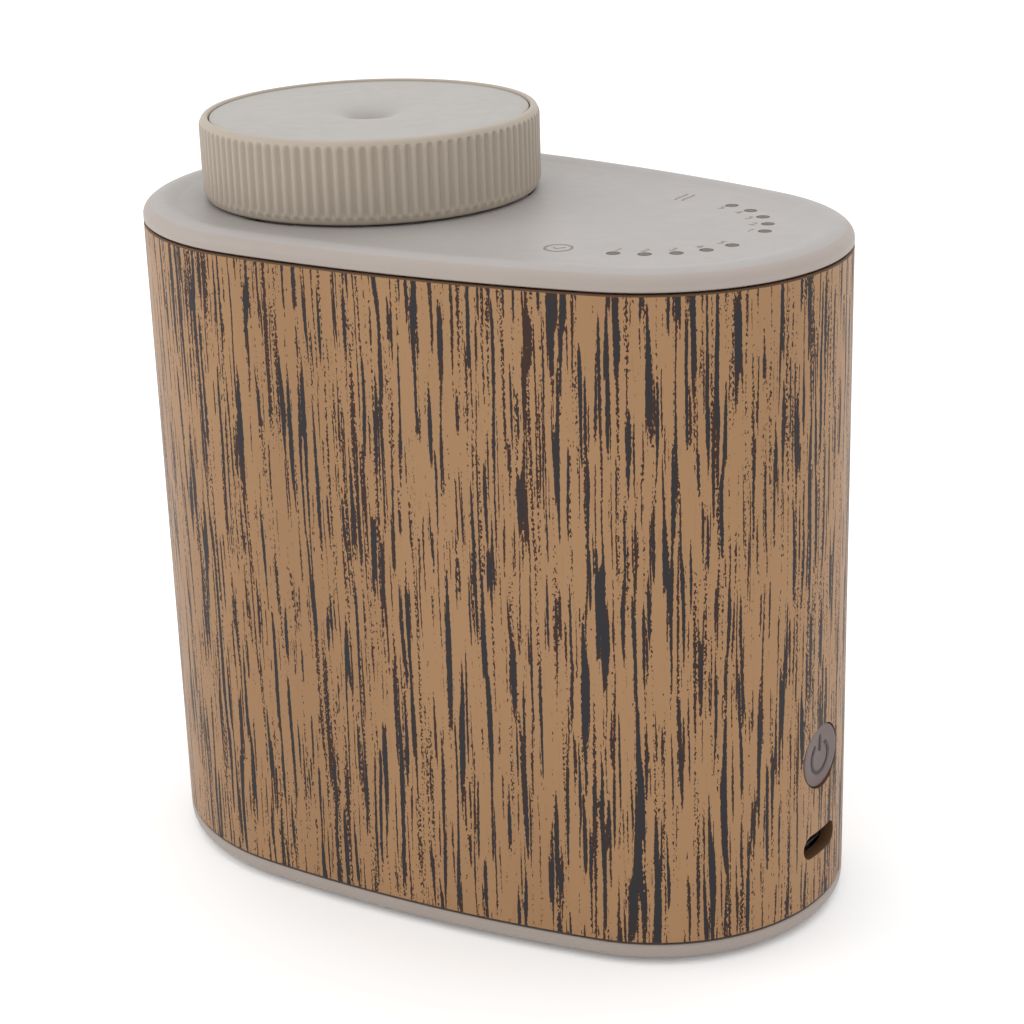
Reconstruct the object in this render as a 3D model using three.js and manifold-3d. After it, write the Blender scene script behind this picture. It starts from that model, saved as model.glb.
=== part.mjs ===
// Rechargeable essential oil diffuser: an egg-shaped column with a twist cap over an oil bottle
// and a nebulising head at its large end, and a battery, an air pump and two boards beside them.
// Millimetres, +Z up, origin on the ground under the middle of the body.
import * as THREE from "three";
import { mergeVertices } from "three/addons/utils/BufferGeometryUtils.js";
import Module from "manifold-3d";

const wasm = await Module();
wasm.setup();

// Plan of the body: two end circles joined by two shallow side arcs.
const BIG_END_R = 36;
const SMALL_END_R = 29.5;
const SIDE_R = 236;
const END_SPACING = 51.15;
const BIG_END_X = (BIG_END_R - SMALL_END_R - END_SPACING) / 2;
const SMALL_END_X = BIG_END_X + END_SPACING;
const BIG_END_STEPS = 22;
const SMALL_END_STEPS = 16;
const SIDE_STEPS = 4;

// Heights of the outer shell.
const PAD_PROUD = 0.8;
const BASE_BOTTOM = PAD_PROUD;
const RIM_TOP = 3.4;
const RIM_ROUND = 1.5;
const GAP = 0.3;
const SLEEVE_BOTTOM = RIM_TOP + GAP;
const SLEEVE_TOP = 103.2;
const COVER_BOTTOM = SLEEVE_TOP + GAP;
const DECK_Z = 105.8;
const EDGE_ROUND = 2.2;
const EDGE_INSET = 5.8;
const WALL = 2;
const LIP_INSET = WALL + GAP;
const LIP_WALL = 1.6;
const LIP_HEIGHT = 4.6;
const SKIRT_DEPTH = 7.5;

// Twist cap.
const CAP_BOTTOM = DECK_Z + GAP;
const CAP_TOP = 118.7;
const CAP_R = 26.45;
const RIB_COUNT = 100;
const RIB_DEPTH = 0.5;
const RIB_BOTTOM = 107.3;
const RIB_TOP = 117.9;
const DISC_POCKET_R = 25;
const DISC_R = 24.7;
const DISC_TOP = 118.4;
const DISC_THICK = 2;
const SHELF_Z = 114.7;
const SPIGOT_R = 23.2;
const SPIGOT_BORE_R = 22.2;
const SPIGOT_BOTTOM = 100.6;
const LUG_COUNT = 3;
const LUG_R = 25.2;
const LUG_HALF_ANGLE = 9;
const LUG_BOTTOM = 100.9;
const LUG_HEIGHT = 2.3;
const MIST_FLARE_R = 5.6;
const MIST_BORE_R = 1.9;

// Opening in the deck that the cap locks into.
const OPENING_R = 23.6;
const NOTCH_R = 25.6;
const NOTCH_HALF_ANGLE = 12;
const COLLAR_R = 25.9;
const COLLAR_WALL = 1.6;

// Well and bottle.
const WELL_R = 22.4;
const WELL_BORE_R = 21;
const WELL_BOTTOM = 8.3;
const WELL_FLOOR = 10.3;
const WELL_TOP = 95.8;
const WELL_FLANGE_R = 26.6;
const GASKET_TOP = 97.1;
const BOTTLE_R = 15;
const BOTTLE_WALL = 1.4;
const BOTTLE_BOTTOM = 18;
const SHOULDER_Z = 80;
const NECK_R = 10.6;
const NECK_Z = 86;
const NECK_TOP = 95.6;
const THREAD_R = 11.4;

// Nebulising head.
const HEAD_BOTTOM = GASKET_TOP + GAP;
const HEAD_TOP = HEAD_BOTTOM + 2;
const HEAD_R = 22.6;
const SOCKET_R = 13.6;
const SOCKET_BORE_R = 11.9;
const SOCKET_BOTTOM = 87;
const CHAMBER_R = 15;
const CHAMBER_TOP = 107.5;
const BEAD_R = 15.8;
const BEAD_HEIGHT = 1.6;
const BOSS_R = 4.6;
const BOSS_TOP = 103;
const AIR_X = 18.05;
const AIR_STUB_R = 1.4;
const AIR_STUB_BOTTOM = 90.5;
const AIR_BORE_R = 0.7;
const AIR_PORT_Z = 88;
const TUBE_R = 1;

// Button and charging port at the small end.
const BUTTON_Z = 27.9;
const BUTTON_R = 5.2;
const BUTTON_FACE_X = 58;
const PORT_Z = 13.6;
const SLOT_WIDTH = 9.4;
const SLOT_HEIGHT = 3.9;
const PORT_WIDTH = 8.9;
const PORT_HEIGHT = 3.2;
const PORT_WALL = 0.35;

// Indicator dots around the small end's centre.
const DOT_RING_R = 17;
const DOT_R = 0.9;
const DOT_FIRST_ANGLE = 16;
const DOT_PITCH_ANGLE = 15;
const DOT_COUNT = 5;
const GUIDE_BOTTOM = 100.6;
const GUIDE_TOP = 102.8;

// Drive parts beside the well.
const CHASSIS_BOTTOM = 6;
const CHASSIS_FLOOR = 8;
const BATTERY = [23, -14.5];
const BATTERY_R = 9.2;
const BATTERY_BOTTOM = CHASSIS_FLOOR + GAP;
const BATTERY_LENGTH = 65;
const PUMP = [20, 12.5];
const MOTOR_R = 10.4;
const MOTOR_BOTTOM = CHASSIS_FLOOR + GAP;
const MOTOR_TOP = 37;
const PUMP_HEAD_R = 11.6;
const PUMP_HEAD_TOP = 55;
const NIPPLE_TOP = 61;
const BRACKET_Z = 66;
const BRACKET_THICK = 2;
const POSTS = [
  [6.5, 20.5],
  [6.5, -20.5],
  [38, 0],
];
const POST_R = 2.4;
const PADS = [
  [-40, 20],
  [-40, -20],
  [40, 15],
  [40, -15],
];
const PAD_R = 4.5;
const PAD_TOP = 1.3;
const SCREWS = [
  [-49.5, 0],
  [2, 27],
  [2, -27],
  [48.5, 0],
];
const SCREW_HEAD_R = 2.8;
const BOARD_SCREWS = [
  [17, 8],
  [17, -8],
];
const BOARD_THICK = 1.2;
const TOUCH_BOARD_Z = 99;
const MAIN_BOARD_X = 49;

const group = new THREE.Group();
group.name = "essential_oil_diffuser";

function finish(color, roughness = 0.6, metalness = 0, opacity = 1) {
  return new THREE.MeshStandardMaterial({
    color,
    roughness,
    metalness,
    opacity,
    transparent: opacity < 1,
  });
}

// A three.js geometry as a manifold-3d solid that faces out.
function solid(geometry) {
  const bare = geometry.clone();
  bare.deleteAttribute("normal");
  bare.deleteAttribute("uv");
  const merged = mergeVertices(bare, 1e-4);
  const index = [...merged.index.array];
  const kept = [];
  for (let i = 0; i < index.length; i += 3) {
    const [a, b, c] = index.slice(i, i + 3);
    if (a !== b && b !== c && c !== a) kept.push(a, b, c);
  }
  const build = (triangles) =>
    new wasm.Manifold(
      new wasm.Mesh({
        numProp: 3,
        vertProperties: merged.attributes.position.array,
        triVerts: new Uint32Array(triangles),
      }),
    );
  const made = build(kept);
  return made.volume() < 0 ? build(kept.reverse()) : made;
}

function piece(name, shape, material, position = [0, 0, 0], rotation = [0, 0, 0]) {
  const { vertProperties, triVerts, numProp } = shape.getMesh();
  const count = vertProperties.length / numProp;
  const points = new Float32Array(count * 3);
  for (let i = 0; i < count; i++) {
    points.set(vertProperties.subarray(i * numProp, i * numProp + 3), i * 3);
  }
  const geometry = new THREE.BufferGeometry();
  geometry.setAttribute("position", new THREE.BufferAttribute(points, 3));
  geometry.setIndex(new THREE.BufferAttribute(new Uint32Array(triVerts), 1));
  geometry.computeVertexNormals();
  const mesh = new THREE.Mesh(geometry, material);
  mesh.name = name;
  mesh.position.set(...position);
  mesh.rotation.set(...rotation);
  group.add(mesh);
  return mesh;
}

function join(...solids) {
  return solids.reduce((whole, next) => whole.add(next));
}

function cut(body, ...tools) {
  return tools.reduce((rest, tool) => rest.subtract(tool), body);
}

const rad = THREE.MathUtils.degToRad;

function arc(x, y, r, from, to, steps) {
  const points = [];
  for (let i = 0; i < steps; i++) {
    const angle = from + ((to - from) * i) / steps;
    points.push(new THREE.Vector2(x + r * Math.cos(angle), y + r * Math.sin(angle)));
  }
  return points;
}

// The body's plan, moved inwards by inset.
function bodyOutline(inset) {
  const half = END_SPACING / 2;
  const middle = (BIG_END_X + SMALL_END_X) / 2;
  const toBig = SIDE_R - BIG_END_R;
  const toSmall = SIDE_R - SMALL_END_R;
  const sideX = (toBig ** 2 - toSmall ** 2) / (4 * half);
  const sideY = Math.sqrt(toBig ** 2 - (sideX + half) ** 2);
  const bigAngle = Math.atan2(sideY, -half - sideX);
  const smallAngle = Math.atan2(sideY, half - sideX);
  const turn = 2 * Math.PI;
  return [
    ...arc(BIG_END_X, 0, BIG_END_R - inset, bigAngle, turn - bigAngle, BIG_END_STEPS),
    ...arc(middle + sideX, sideY, SIDE_R - inset, -bigAngle, -smallAngle, SIDE_STEPS),
    ...arc(SMALL_END_X, 0, SMALL_END_R - inset, -smallAngle, smallAngle, SMALL_END_STEPS),
    ...arc(middle + sideX, -sideY, SIDE_R - inset, smallAngle, bigAngle, SIDE_STEPS),
  ];
}

function prism(points, bottom, top) {
  const geometry = new THREE.ExtrudeGeometry(new THREE.Shape(points), {
    depth: top - bottom,
    bevelEnabled: false,
  });
  return solid(geometry).translate([0, 0, bottom]);
}

// A slab of the body's plan whose top and bottom edges are rounded by a quarter ellipse.
function roundedSlab(bottom, top, high, inset, steps) {
  const geometry = new THREE.ExtrudeGeometry(new THREE.Shape(bodyOutline(0)), {
    depth: top - bottom - 2 * high,
    bevelThickness: high,
    bevelSize: inset,
    bevelOffset: -inset,
    bevelSegments: steps,
  });
  return solid(geometry).translate([0, 0, bottom + high]);
}

function bodyTube(outerInset, innerInset, bottom, top) {
  return cut(
    prism(bodyOutline(outerInset), bottom, top),
    prism(bodyOutline(innerInset), bottom - 1, top + 1),
  );
}

// A closed profile of [radius, height] pairs turned about Z.
function turned(profile, segments) {
  const points = profile.map(([r, z]) => new THREE.Vector2(r, z));
  points.push(points[0].clone());
  return solid(new THREE.LatheGeometry(points, segments).rotateX(Math.PI / 2));
}

function rod(r, bottom, top, x = 0, y = 0, segments = 16) {
  const geometry = new THREE.CylinderGeometry(r, r, top - bottom, segments);
  geometry.rotateX(Math.PI / 2).translate(x, y, (bottom + top) / 2);
  return solid(geometry);
}

function rodAlongX(r, from, to, y, z, segments = 16) {
  const geometry = new THREE.CylinderGeometry(r, r, to - from, segments);
  geometry.rotateZ(Math.PI / 2).translate((from + to) / 2, y, z);
  return solid(geometry);
}

function ring(outer, inner, bottom, top, segments) {
  const profile = [
    [outer, bottom],
    [outer, top],
    [inner, top],
    [inner, bottom],
  ];
  return turned(profile, segments);
}

function block(x0, x1, y0, y1, z0, z1) {
  const geometry = new THREE.BoxGeometry(x1 - x0, y1 - y0, z1 - z0);
  geometry.translate((x0 + x1) / 2, (y0 + y1) / 2, (z0 + z1) / 2);
  return solid(geometry);
}

function sector(inner, outer, half, centre, bottom, top, steps) {
  const points = [
    ...arc(0, 0, outer, centre - half, centre + half, steps),
    ...arc(0, 0, outer, centre + half, centre + half + 1, 1),
    ...arc(0, 0, inner, centre + half, centre - half, steps),
    ...arc(0, 0, inner, centre - half, centre - half - 1, 1),
  ];
  return prism(points, bottom, top);
}

// A rounded slot shape standing across X, wide along Y and high along Z.
function slotBar(width, height, from, to, z) {
  const r = height / 2;
  const y = width / 2 - r;
  const quarter = Math.PI / 2;
  const points = [
    ...arc(y, 0, r, -quarter, quarter, 6),
    ...arc(y, 0, r, quarter, quarter + 1, 1),
    ...arc(-y, 0, r, quarter, 3 * quarter, 6),
    ...arc(-y, 0, r, 3 * quarter, 3 * quarter + 1, 1),
  ];
  const geometry = new THREE.ExtrudeGeometry(new THREE.Shape(points), {
    depth: to - from,
    bevelEnabled: false,
  });
  geometry.rotateX(quarter).rotateZ(quarter).translate(from, 0, z);
  return solid(geometry);
}

function cable(points, r, segments, sides) {
  const path = new THREE.CatmullRomCurve3(points.map((p) => new THREE.Vector3(...p)));
  const shape = new THREE.Shape(arc(0, 0, r, 0, 2 * Math.PI, sides));
  const geometry = new THREE.ExtrudeGeometry(shape, { steps: segments, extrudePath: path });
  return solid(geometry);
}

function lugAngles() {
  return Array.from({ length: LUG_COUNT }, (_, i) => rad(30 + (360 / LUG_COUNT) * i));
}

function dotAngles(side) {
  return Array.from({ length: DOT_COUNT }, (_, i) =>
    rad(side * (DOT_FIRST_ANGLE + DOT_PITCH_ANGLE * i)),
  );
}

function sleeve() {
  return cut(
    bodyTube(0, WALL, SLEEVE_BOTTOM, SLEEVE_TOP),
    rodAlongX(BUTTON_R + GAP, 50, 60, 0, BUTTON_Z, 32),
    slotBar(SLOT_WIDTH, SLOT_HEIGHT, 50, 60, PORT_Z),
  );
}

function topCover() {
  const collar = ring(COLLAR_R + COLLAR_WALL, COLLAR_R, WELL_TOP + GAP, COVER_BOTTOM + 0.5, 32);
  const slab = cut(
    roundedSlab(2 * COVER_BOTTOM - DECK_Z, DECK_Z, EDGE_ROUND, EDGE_INSET, 4),
    block(-70, 70, -50, 50, COVER_BOTTOM - 10, COVER_BOTTOM),
  );
  const skirt = bodyTube(
    LIP_INSET,
    LIP_INSET + LIP_WALL,
    COVER_BOTTOM - SKIRT_DEPTH,
    COVER_BOTTOM + 0.5,
  );
  const bosses = BOARD_SCREWS.map(([x, y]) =>
    rod(2.6, TOUCH_BOARD_Z + BOARD_THICK + GAP, COVER_BOTTOM + 0.5, x, y, 12),
  );
  const pilots = BOARD_SCREWS.map(([x, y]) => rod(1.1, 99, 103, x, y, 8));
  const notches = lugAngles().map((angle) =>
    sector(20, NOTCH_R, rad(NOTCH_HALF_ANGLE), angle, 100, 110, 3).translate([BIG_END_X, 0, 0]),
  );
  const dotHoles = [-1, 1].flatMap((side) =>
    dotAngles(side).map((angle) =>
      rod(
        DOT_R + 0.2,
        100,
        110,
        SMALL_END_X + DOT_RING_R * Math.cos(angle),
        DOT_RING_R * Math.sin(angle),
        10,
      ),
    ),
  );
  const opening = rod(OPENING_R, 100, 110, BIG_END_X, 0, 40);
  const plate = cut(slab, opening, ...notches, ...dotHoles);
  return cut(
    join(plate, skirt, collar.translate([BIG_END_X, 0, 0]), ...bosses),
    ...pilots,
  );
}

function baseCover() {
  const rim = cut(
    roundedSlab(BASE_BOTTOM, 2 * RIM_TOP - BASE_BOTTOM, RIM_ROUND, RIM_ROUND, 3),
    block(-70, 70, -50, 50, RIM_TOP, 10),
  );
  const lip = bodyTube(LIP_INSET, LIP_INSET + LIP_WALL, RIM_TOP - 0.5, RIM_TOP + LIP_HEIGHT);
  const slot = slotBar(SLOT_WIDTH + 2, SLOT_HEIGHT + 2, 50, 60, PORT_Z);
  const bosses = SCREWS.map(([x, y]) => rod(4.2, 2, CHASSIS_BOTTOM - GAP, x, y, 10));
  const counterbores = SCREWS.map(([x, y]) => rod(SCREW_HEAD_R + GAP, 0, 3, x, y, 10));
  const holes = SCREWS.map(([x, y]) => rod(1.5, 0, 8, x, y, 8));
  const pockets = PADS.map(([x, y]) => rod(PAD_R + GAP, 0, PAD_TOP + GAP, x, y, 16));
  return cut(join(rim, lip, ...bosses), slot, ...counterbores, ...holes, ...pockets);
}

function screw(headR, headHigh, shankR, length) {
  const profile = [
    [0, 0.4],
    [headR * 0.55, 0.4],
    [headR * 0.55, 0],
    [headR, 0.3],
    [headR, headHigh],
    [shankR, headHigh],
    [shankR, length],
    [0, length + shankR],
  ];
  return turned(profile, 8);
}

function bottleWell() {
  const cup = turned(
    [
      [0, WELL_BOTTOM],
      [WELL_R, WELL_BOTTOM],
      [WELL_R, WELL_TOP - 2],
      [WELL_FLANGE_R, WELL_TOP - 2],
      [WELL_FLANGE_R, WELL_TOP],
      [WELL_BORE_R, WELL_TOP],
      [WELL_BORE_R, WELL_FLOOR],
      [0, WELL_FLOOR],
    ],
    32,
  );
  return cut(cup, rodAlongX(2.3, 18, 25, 0, AIR_PORT_Z, 12));
}

// Takes the head's air stub from above and carries the hose's barb through the well's wall.
function airSocket() {
  const body = join(
    rod(2.6, AIR_PORT_Z - 2.6, WELL_TOP - 0.6, AIR_X, 0, 16),
    rodAlongX(2, AIR_X, 25, 0, AIR_PORT_Z, 12),
    rodAlongX(1.4, 24, 30, 0, AIR_PORT_Z, 12),
  );
  return cut(
    body,
    rod(AIR_STUB_R + 0.35, AIR_PORT_Z, WELL_TOP + 1, AIR_X, 0, 12),
    rodAlongX(0.8, AIR_X, 32, 0, AIR_PORT_Z, 8),
  );
}

function bottle() {
  const inner = NECK_R - BOTTLE_WALL - 1;
  const profile = [
    [0, BOTTLE_BOTTOM + 0.8],
    [BOTTLE_R - 3, BOTTLE_BOTTOM],
    [BOTTLE_R - 1, BOTTLE_BOTTOM + 0.4],
    [BOTTLE_R, BOTTLE_BOTTOM + 1.6],
    [BOTTLE_R, SHOULDER_Z],
    [BOTTLE_R - 1, SHOULDER_Z + 2.6],
    [NECK_R + 0.8, NECK_Z - 1.2],
    [NECK_R, NECK_Z],
    [NECK_R, 89.6],
    [THREAD_R, 90.3],
    [THREAD_R, 91.1],
    [NECK_R, 91.8],
    [NECK_R, NECK_TOP],
    [inner, NECK_TOP],
    [inner, NECK_Z - 1],
    [BOTTLE_R - BOTTLE_WALL - 1, SHOULDER_Z + 1.4],
    [BOTTLE_R - BOTTLE_WALL, SHOULDER_Z - 1],
    [BOTTLE_R - BOTTLE_WALL, BOTTLE_BOTTOM + 3.4],
    [BOTTLE_R - BOTTLE_WALL - 2, BOTTLE_BOTTOM + 2.4],
    [0, BOTTLE_BOTTOM + 2.8],
  ];
  return turned(profile, 26);
}

function headCarrier() {
  const plate = turned(
    [
      [0, HEAD_BOTTOM],
      [SOCKET_BORE_R, HEAD_BOTTOM],
      [SOCKET_BORE_R, SOCKET_BOTTOM],
      [SOCKET_R, SOCKET_BOTTOM],
      [SOCKET_R, HEAD_BOTTOM],
      [HEAD_R, HEAD_BOTTOM],
      [HEAD_R, HEAD_TOP],
      [CHAMBER_R, HEAD_TOP],
      [CHAMBER_R, CHAMBER_TOP - BEAD_HEIGHT],
      [BEAD_R, CHAMBER_TOP - BEAD_HEIGHT],
      [BEAD_R, CHAMBER_TOP - 0.5],
      [CHAMBER_R, CHAMBER_TOP],
      [CHAMBER_R - LIP_WALL, CHAMBER_TOP],
      [CHAMBER_R - LIP_WALL, HEAD_TOP],
      [BOSS_R, HEAD_TOP],
      [BOSS_R, BOSS_TOP],
      [0, BOSS_TOP],
    ],
    28,
  );
  const ductZ = HEAD_TOP + 1;
  const duct = block(3, AIR_X + 2, -1.7, 1.7, HEAD_BOTTOM + 0.5, HEAD_TOP + 2.2);
  const stub = rod(AIR_STUB_R, AIR_STUB_BOTTOM, HEAD_BOTTOM + 0.5, AIR_X, 0, 10);
  return cut(
    join(plate, duct, stub),
    rod(AIR_BORE_R, AIR_STUB_BOTTOM - 1, ductZ, AIR_X, 0, 8),
    rodAlongX(AIR_BORE_R, 2.9, AIR_X + AIR_BORE_R, 0, ductZ, 8),
    rod(AIR_BORE_R, ductZ - 0.2, BOSS_TOP + 1, 2.9, 0, 8),
    rod(TUBE_R + GAP, HEAD_BOTTOM - 1, BOSS_TOP + 1, 0, 0, 10),
  );
}

function nozzle() {
  const bottom = BOSS_TOP + GAP;
  return turned(
    [
      [TUBE_R + GAP, bottom],
      [1.9, bottom],
      [1.9, bottom + 1],
      [3.7, bottom + 1],
      [3.7, bottom],
      [4.4, bottom],
      [4.4, bottom + 3],
      [2.4, bottom + 3.6],
      [1.4, bottom + 6.4],
      [0.5, bottom + 6.4],
      [0.5, bottom + 4],
      [TUBE_R + GAP, bottom + 3.4],
    ],
    16,
  );
}

function capRing() {
  const ribStep = (2 * Math.PI) / RIB_COUNT;
  const ribbed = [];
  for (let i = 0; i < RIB_COUNT; i++) {
    const peak = arc(0, 0, CAP_R, (i + 0.5) * ribStep, 9, 1);
    const valley = arc(0, 0, CAP_R - RIB_DEPTH, i * ribStep, 9, 1);
    ribbed.push(...valley, ...peak);
  }
  const bandBore = rod(CAP_R - RIB_DEPTH - 0.4, RIB_BOTTOM - 1, RIB_TOP + 1, 0, 0, 24);
  const band = cut(prism(ribbed, RIB_BOTTOM, RIB_TOP), bandBore);
  const core = turned(
    [
      [SPIGOT_BORE_R, SPIGOT_BOTTOM],
      [SPIGOT_R, SPIGOT_BOTTOM],
      [SPIGOT_R, CAP_BOTTOM],
      [CAP_R - 0.9, CAP_BOTTOM],
      [CAP_R - 0.6, RIB_BOTTOM],
      [CAP_R - 0.6, RIB_TOP - 0.1],
      [CAP_R - 0.2, RIB_TOP + 0.2],
      [CAP_R - 0.35, CAP_TOP - 0.25],
      [CAP_R - 0.75, CAP_TOP],
      [DISC_POCKET_R + 0.3, CAP_TOP - 0.05],
      [DISC_POCKET_R, CAP_TOP - 0.35],
      [DISC_POCKET_R, SHELF_Z],
      [SPIGOT_BORE_R, SHELF_Z],
    ],
    40,
  );
  const lugs = lugAngles().map((angle) =>
    sector(SPIGOT_R - 0.5, LUG_R, rad(LUG_HALF_ANGLE), angle, LUG_BOTTOM, LUG_BOTTOM + LUG_HEIGHT, 3),
  );
  return join(core, band, ...lugs);
}

function capDisc() {
  const low = DISC_TOP - DISC_THICK;
  return turned(
    [
      [MIST_BORE_R, 113.9],
      [MIST_BORE_R + 1.1, 113.9],
      [MIST_BORE_R + 1.3, 115.4],
      [MIST_FLARE_R - 0.6, low],
      [DISC_R, low],
      [DISC_R, DISC_TOP - 0.2],
      [DISC_R - 0.2, DISC_TOP],
      [MIST_FLARE_R, DISC_TOP],
      [MIST_FLARE_R - 1.1, DISC_TOP - 0.25],
      [MIST_FLARE_R - 2.3, DISC_TOP - 0.95],
      [MIST_BORE_R + 0.5, DISC_TOP - 2],
      [MIST_BORE_R, DISC_TOP - 3.2],
    ],
    36,
  );
}

// Hangs from the cap's shelf, hooks under the head's bead, and turns round it freely.
function capBaffle() {
  const beadZ = CHAMBER_TOP - BEAD_HEIGHT;
  const low = SHELF_Z + GAP;
  return turned(
    [
      [CHAMBER_R + GAP, beadZ - GAP],
      [CHAMBER_R + GAP, beadZ - GAP - 1.3],
      [BEAD_R + 1.6, beadZ - GAP - 1.3],
      [BEAD_R + 1.6, low],
      [DISC_R, low],
      [DISC_R, low + 1.1],
      [BEAD_R + GAP, low + 1.1],
      [BEAD_R + GAP, 113.4],
      [6, 113.4],
      [6, 112.4],
      [BEAD_R + GAP, 112.4],
      [BEAD_R + GAP, beadZ - GAP],
    ],
    28,
  );
}

function powerButton() {
  return join(
    rodAlongX(BUTTON_R, 54.4, BUTTON_FACE_X, 0, BUTTON_Z, 32),
    rodAlongX(BUTTON_R + 1, 53.9, 55.1, 0, BUTTON_Z, 24),
    rodAlongX(1.5, 53.4, 54.4, 0, BUTTON_Z, 10),
  );
}

function usbPort() {
  const shell = slotBar(PORT_WIDTH, PORT_HEIGHT, 50.5, 56, PORT_Z);
  const mouth = slotBar(PORT_WIDTH - 2 * PORT_WALL, PORT_HEIGHT - 2 * PORT_WALL, 51.3, 57, PORT_Z);
  const tongue = block(51, 55.3, -3.3, 3.3, PORT_Z - 0.35, PORT_Z + 0.35);
  return join(cut(shell, mouth), tongue);
}

function lightGuide(side) {
  const angles = dotAngles(side);
  const mid = (angles[0] + angles[DOT_COUNT - 1]) / 2;
  const half = Math.abs(angles[DOT_COUNT - 1] - angles[0]) / 2 + rad(6);
  const bar = sector(DOT_RING_R - 1.5, DOT_RING_R + 1.5, half, mid, GUIDE_BOTTOM, GUIDE_TOP, 6);
  const pins = angles.map((angle) =>
    rod(
      DOT_R,
      GUIDE_TOP - 0.5,
      DECK_Z,
      DOT_RING_R * Math.cos(angle),
      DOT_RING_R * Math.sin(angle),
      10,
    ),
  );
  return join(bar, ...pins);
}

function touchBoard() {
  const r = 21;
  const reach = 1.9;
  const points = [
    ...arc(0, 0, r, -reach, reach, 18),
    ...arc(0, 0, r, reach, reach + 1, 1),
    new THREE.Vector2(-15, r * Math.sin(reach) - 4),
    new THREE.Vector2(-15, 4 - r * Math.sin(reach)),
  ];
  const board = prism(points, TOUCH_BOARD_Z, TOUCH_BOARD_Z + BOARD_THICK);
  const holes = BOARD_SCREWS.map(([x, y]) =>
    rod(1.3, TOUCH_BOARD_Z - 1, TOUCH_BOARD_Z + 3, x - SMALL_END_X, y, 8),
  );
  return cut(board, ...holes);
}

// Floor frame: a plate with a collar for the well, cups for battery and motor, and posts.
function chassis() {
  const plate = prism(bodyOutline(LIP_INSET + LIP_WALL + 0.6), CHASSIS_BOTTOM, CHASSIS_FLOOR);
  const wellCollar = ring(WELL_R + 2, WELL_R + GAP, CHASSIS_FLOOR - 0.5, 14, 32);
  const batteryCup = ring(BATTERY_R + 1.8, BATTERY_R + GAP, CHASSIS_FLOOR - 0.5, 18, 20);
  const motorCup = ring(MOTOR_R + 1.8, MOTOR_R + GAP, CHASSIS_FLOOR - 0.5, 18, 20);
  const posts = POSTS.map(([x, y]) => rod(POST_R, CHASSIS_FLOOR - 0.5, BRACKET_Z - GAP, x, y, 10));
  const bosses = SCREWS.map(([x, y]) => rod(3, CHASSIS_FLOOR - 0.5, 9.6, x, y, 10));
  const pilots = SCREWS.map(([x, y]) => rod(1.4, 5, 11, x, y, 8));
  const postPilots = POSTS.map(([x, y]) => rod(1.2, BRACKET_Z - 8, BRACKET_Z, x, y, 8));
  const boardRib = block(45, 48.6, -6, 6, CHASSIS_FLOOR - 0.5, 12);
  return cut(
    join(
      plate,
      wellCollar.translate([BIG_END_X, 0, 0]),
      batteryCup.translate([...BATTERY, 0]),
      motorCup.translate([...PUMP, 0]),
      boardRib,
      ...posts,
      ...bosses,
    ),
    ...pilots,
    ...postPilots,
  );
}

function upperBracket() {
  const top = BRACKET_Z + BRACKET_THICK;
  const plate = prism(bodyOutline(LIP_INSET + LIP_WALL + 0.6), BRACKET_Z, top).intersect(
    block(3, 41.5, -40, 40, BRACKET_Z - 1, top + 1),
  );
  return cut(
    plate,
    rod(BATTERY_R + GAP, BRACKET_Z - 1, top + 1, ...BATTERY, 24),
    rod(4, BRACKET_Z - 1, top + 1, ...PUMP, 16),
    ...POSTS.map(([x, y]) => rod(1.3, BRACKET_Z - 1, top + 1, x, y, 8)),
  );
}

function pumpHead() {
  return turned(
    [
      [MOTOR_R - 1.2, MOTOR_TOP + GAP],
      [PUMP_HEAD_R, MOTOR_TOP + GAP],
      [PUMP_HEAD_R, PUMP_HEAD_TOP - 1],
      [PUMP_HEAD_R - 1, PUMP_HEAD_TOP],
      [2.4, PUMP_HEAD_TOP],
      [1.7, PUMP_HEAD_TOP + 1.4],
      [1.4, NIPPLE_TOP],
      [0.7, NIPPLE_TOP],
      [0.7, PUMP_HEAD_TOP - 2],
      [MOTOR_R - 1.2, PUMP_HEAD_TOP - 2],
    ],
    24,
  );
}

function pumpDiaphragm() {
  const z = PUMP_HEAD_TOP - 5.6;
  return turned(
    [
      [0, z],
      [4, z],
      [5, z + 1.4],
      [6.4, z + 1.4],
      [7.4, z],
      [8.9, z],
      [8.9, z + 0.9],
      [7.8, z + 0.9],
      [6.8, z + 2.3],
      [4.6, z + 2.3],
      [3.6, z + 0.9],
      [0, z + 0.9],
    ],
    20,
  );
}

function pumpRotor() {
  return join(
    rod(1.1, MOTOR_TOP + GAP, 42.5, 0, 0, 10),
    rod(4.6, 41.5, 45.5, 1.3, 0, 20),
    rod(1.2, 45, 48, 2.8, 0, 10),
  );
}

function motor() {
  return turned(
    [
      [0, MOTOR_BOTTOM],
      [MOTOR_R - 1, MOTOR_BOTTOM],
      [MOTOR_R, MOTOR_BOTTOM + 1],
      [MOTOR_R, MOTOR_TOP - 1],
      [MOTOR_R - 1, MOTOR_TOP],
      [0, MOTOR_TOP],
    ],
    24,
  );
}

function batteryCell() {
  const top = BATTERY_BOTTOM + BATTERY_LENGTH;
  return turned(
    [
      [0, BATTERY_BOTTOM],
      [BATTERY_R, BATTERY_BOTTOM],
      [BATTERY_R, top - 1.4],
      [BATTERY_R - 1, top - 1],
      [3.2, top - 1],
      [3.2, top],
      [0, top],
    ],
    24,
  );
}

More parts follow.
